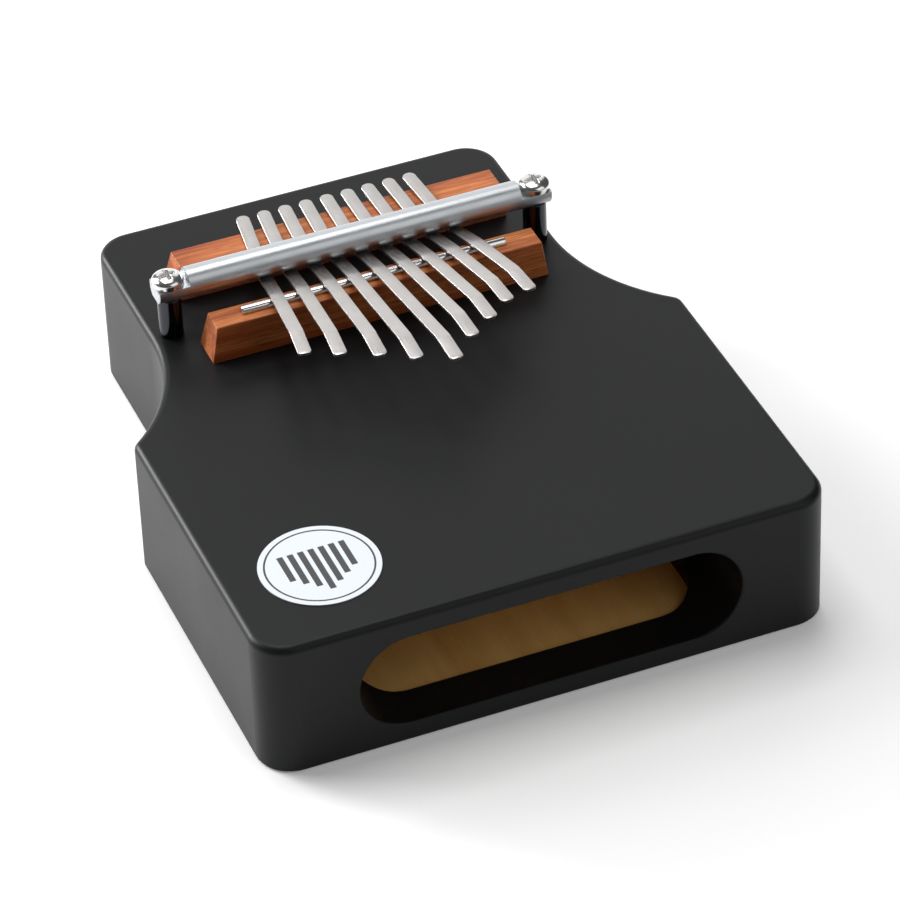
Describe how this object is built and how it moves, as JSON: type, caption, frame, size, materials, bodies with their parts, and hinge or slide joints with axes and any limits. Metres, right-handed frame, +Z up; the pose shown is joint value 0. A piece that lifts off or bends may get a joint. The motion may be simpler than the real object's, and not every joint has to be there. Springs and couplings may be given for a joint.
{
  "type": "box thumb piano",
  "caption": "Box-bodied thumb piano (mbira) with a waisted black wooden sound box, a long sound slot, and steel tines held across wooden bridges by a screwed pressure bar.",
  "frame": {"origin": "centre of the box's rectangular footprint, on the surface the instrument rests on", "axes": "+X across the box to the player's right, +Y along the box from the slotted front wall to the head, +Z up out of the top plate"},
  "size_m": [0.18, 0.2144, 0.0708],
  "materials": {
    "black_lacquered_wood": "satin black lacquer on hardwood, bare light wood inside the chamber",
    "reddish_hardwood": "sanded and oiled orange-brown hardwood",
    "polished_steel": "polished and nickel-plated",
    "spring_steel": "bare spring steel, brushed along its length",
    "brass_insert": "turned brass",
    "badge_foil": "pale silver-white printed disc"
  },
  "bodies": {
    "sound_box": {"rim": "black_lacquered_wood", "top_plate": "black_lacquered_wood", "back_plate": "black_lacquered_wood", "badge": "badge_foil", "front_block": "reddish_hardwood", "rear_block": "reddish_hardwood", "bridge_rod": "polished_steel", "post_left": "polished_steel", "post_right": "polished_steel", "insert_left": "brass_insert", "insert_right": "brass_insert"},
    "clamp_bar": {"pressure_bar": "polished_steel"},
    "screw_left": {"screw_left": "polished_steel"},
    "screw_right": {"screw_right": "polished_steel"},
    "tine_1": {"tine_1": "spring_steel"},
    "tine_1_blade": {"tine_1_blade": "spring_steel"},
    "tine_2": {"tine_2": "spring_steel"},
    "tine_2_blade": {"tine_2_blade": "spring_steel"},
    "tine_3": {"tine_3": "spring_steel"},
    "tine_3_blade": {"tine_3_blade": "spring_steel"},
    "tine_4": {"tine_4": "spring_steel"},
    "tine_4_blade": {"tine_4_blade": "spring_steel"},
    "tine_5": {"tine_5": "spring_steel"},
    "tine_5_blade": {"tine_5_blade": "spring_steel"},
    "tine_6": {"tine_6": "spring_steel"},
    "tine_6_blade": {"tine_6_blade": "spring_steel"},
    "tine_7": {"tine_7": "spring_steel"},
    "tine_7_blade": {"tine_7_blade": "spring_steel"},
    "tine_8": {"tine_8": "spring_steel"},
    "tine_8_blade": {"tine_8_blade": "spring_steel"},
    "tine_9": {"tine_9": "spring_steel"},
    "tine_9_blade": {"tine_9_blade": "spring_steel"}
  },
  "joints": [
    {"name": "bar_lift", "type": "slide", "parent": "sound_box", "child": "clamp_bar", "axis": [0, 0, 1], "range_m": [0, 0.002]},
    {"name": "screw_left_turn", "type": "hinge", "parent": "clamp_bar", "child": "screw_left", "pos_m": [-0.0605, 0.05, 0.065], "axis": [0, 0, 1], "range_deg": [0, 900]},
    {"name": "screw_right_turn", "type": "hinge", "parent": "clamp_bar", "child": "screw_right", "pos_m": [0.0613, 0.05, 0.065], "axis": [0, 0, 1], "range_deg": [0, 900]},
    {"name": "tine_1_tune", "type": "slide", "parent": "sound_box", "child": "tine_1", "axis": [-0.1143, -0.9934, 0], "range_m": [-0.001, 0.001]},
    {"name": "tine_1_pluck", "type": "hinge", "parent": "tine_1", "child": "tine_1_blade", "pos_m": [-0.03103, 0.0343, 0.06193], "axis": [-0.9934, 0.1143, 0], "range_deg": [-4, 3], "stiffness_Nm_per_rad": 2},
    {"name": "tine_2_tune", "type": "slide", "parent": "sound_box", "child": "tine_2", "axis": [-0.0809, -0.9967, 0], "range_m": [-0.001, 0.001]},
    {"name": "tine_2_pluck", "type": "hinge", "parent": "tine_2", "child": "tine_2_blade", "pos_m": [-0.02257, 0.0343, 0.06193], "axis": [-0.9967, 0.0809, 0], "range_deg": [-4, 3], "stiffness_Nm_per_rad": 2},
    {"name": "tine_3_tune", "type": "slide", "parent": "sound_box", "child": "tine_3", "axis": [-0.0395, -0.9992, 0], "range_m": [-0.001, 0.001]},
    {"name": "tine_3_pluck", "type": "hinge", "parent": "tine_3", "child": "tine_3_blade", "pos_m": [-0.01376, 0.0343, 0.06193], "axis": [-0.9992, 0.0395, 0], "range_deg": [-4, 3], "stiffness_Nm_per_rad": 2},
    {"name": "tine_4_tune", "type": "slide", "parent": "sound_box", "child": "tine_4", "axis": [-0.0173, -0.9998, 0], "range_m": [-0.001, 0.001]},
    {"name": "tine_4_pluck", "type": "hinge", "parent": "tine_4", "child": "tine_4_blade", "pos_m": [-0.00582, 0.0343, 0.06193], "axis": [-0.9998, 0.0173, 0], "range_deg": [-4, 3], "stiffness_Nm_per_rad": 2},
    {"name": "tine_5_tune", "type": "slide", "parent": "sound_box", "child": "tine_5", "axis": [0.0149, -0.9999, 0], "range_m": [-0.001, 0.001]},
    {"name": "tine_5_pluck", "type": "hinge", "parent": "tine_5", "child": "tine_5_blade", "pos_m": [0.00256, 0.0343, 0.06193], "axis": [-0.9999, -0.0149, 0], "range_deg": [-4, 3], "stiffness_Nm_per_rad": 2},
    {"name": "tine_6_tune", "type": "slide", "parent": "sound_box", "child": "tine_6", "axis": [0.044, -0.999, 0], "range_m": [-0.001, 0.001]},
    {"name": "tine_6_pluck", "type": "hinge", "parent": "tine_6", "child": "tine_6_blade", "pos_m": [0.01081, 0.0343, 0.06193], "axis": [-0.999, -0.044, 0], "range_deg": [-4, 3], "stiffness_Nm_per_rad": 2},
    {"name": "tine_7_tune", "type": "slide", "parent": "sound_box", "child": "tine_7", "axis": [0.0705, -0.9975, 0], "range_m": [-0.001, 0.001]},
    {"name": "tine_7_pluck", "type": "hinge", "parent": "tine_7", "child": "tine_7_blade", "pos_m": [0.01895, 0.0343, 0.06193], "axis": [-0.9975, -0.0705, 0], "range_deg": [-4, 3], "stiffness_Nm_per_rad": 2},
    {"name": "tine_8_tune", "type": "slide", "parent": "sound_box", "child": "tine_8", "axis": [0.097, -0.9953, 0], "range_m": [-0.001, 0.001]},
    {"name": "tine_8_pluck", "type": "hinge", "parent": "tine_8", "child": "tine_8_blade", "pos_m": [0.0271, 0.0343, 0.06193], "axis": [-0.9953, -0.097, 0], "range_deg": [-4, 3], "stiffness_Nm_per_rad": 2},
    {"name": "tine_9_tune", "type": "slide", "parent": "sound_box", "child": "tine_9", "axis": [0.1214, -0.9926, 0], "range_m": [-0.001, 0.001]},
    {"name": "tine_9_pluck", "type": "hinge", "parent": "tine_9", "child": "tine_9_blade", "pos_m": [0.03515, 0.0343, 0.06193], "axis": [-0.9926, -0.1214, 0], "range_deg": [-4, 3], "stiffness_Nm_per_rad": 2}
  ],
  "couplings": [
    {"joint": "screw_left_turn", "follows": "bar_lift", "rad_per_m": 7854},
    {"joint": "screw_right_turn", "follows": "bar_lift", "rad_per_m": 7854}
  ]
}
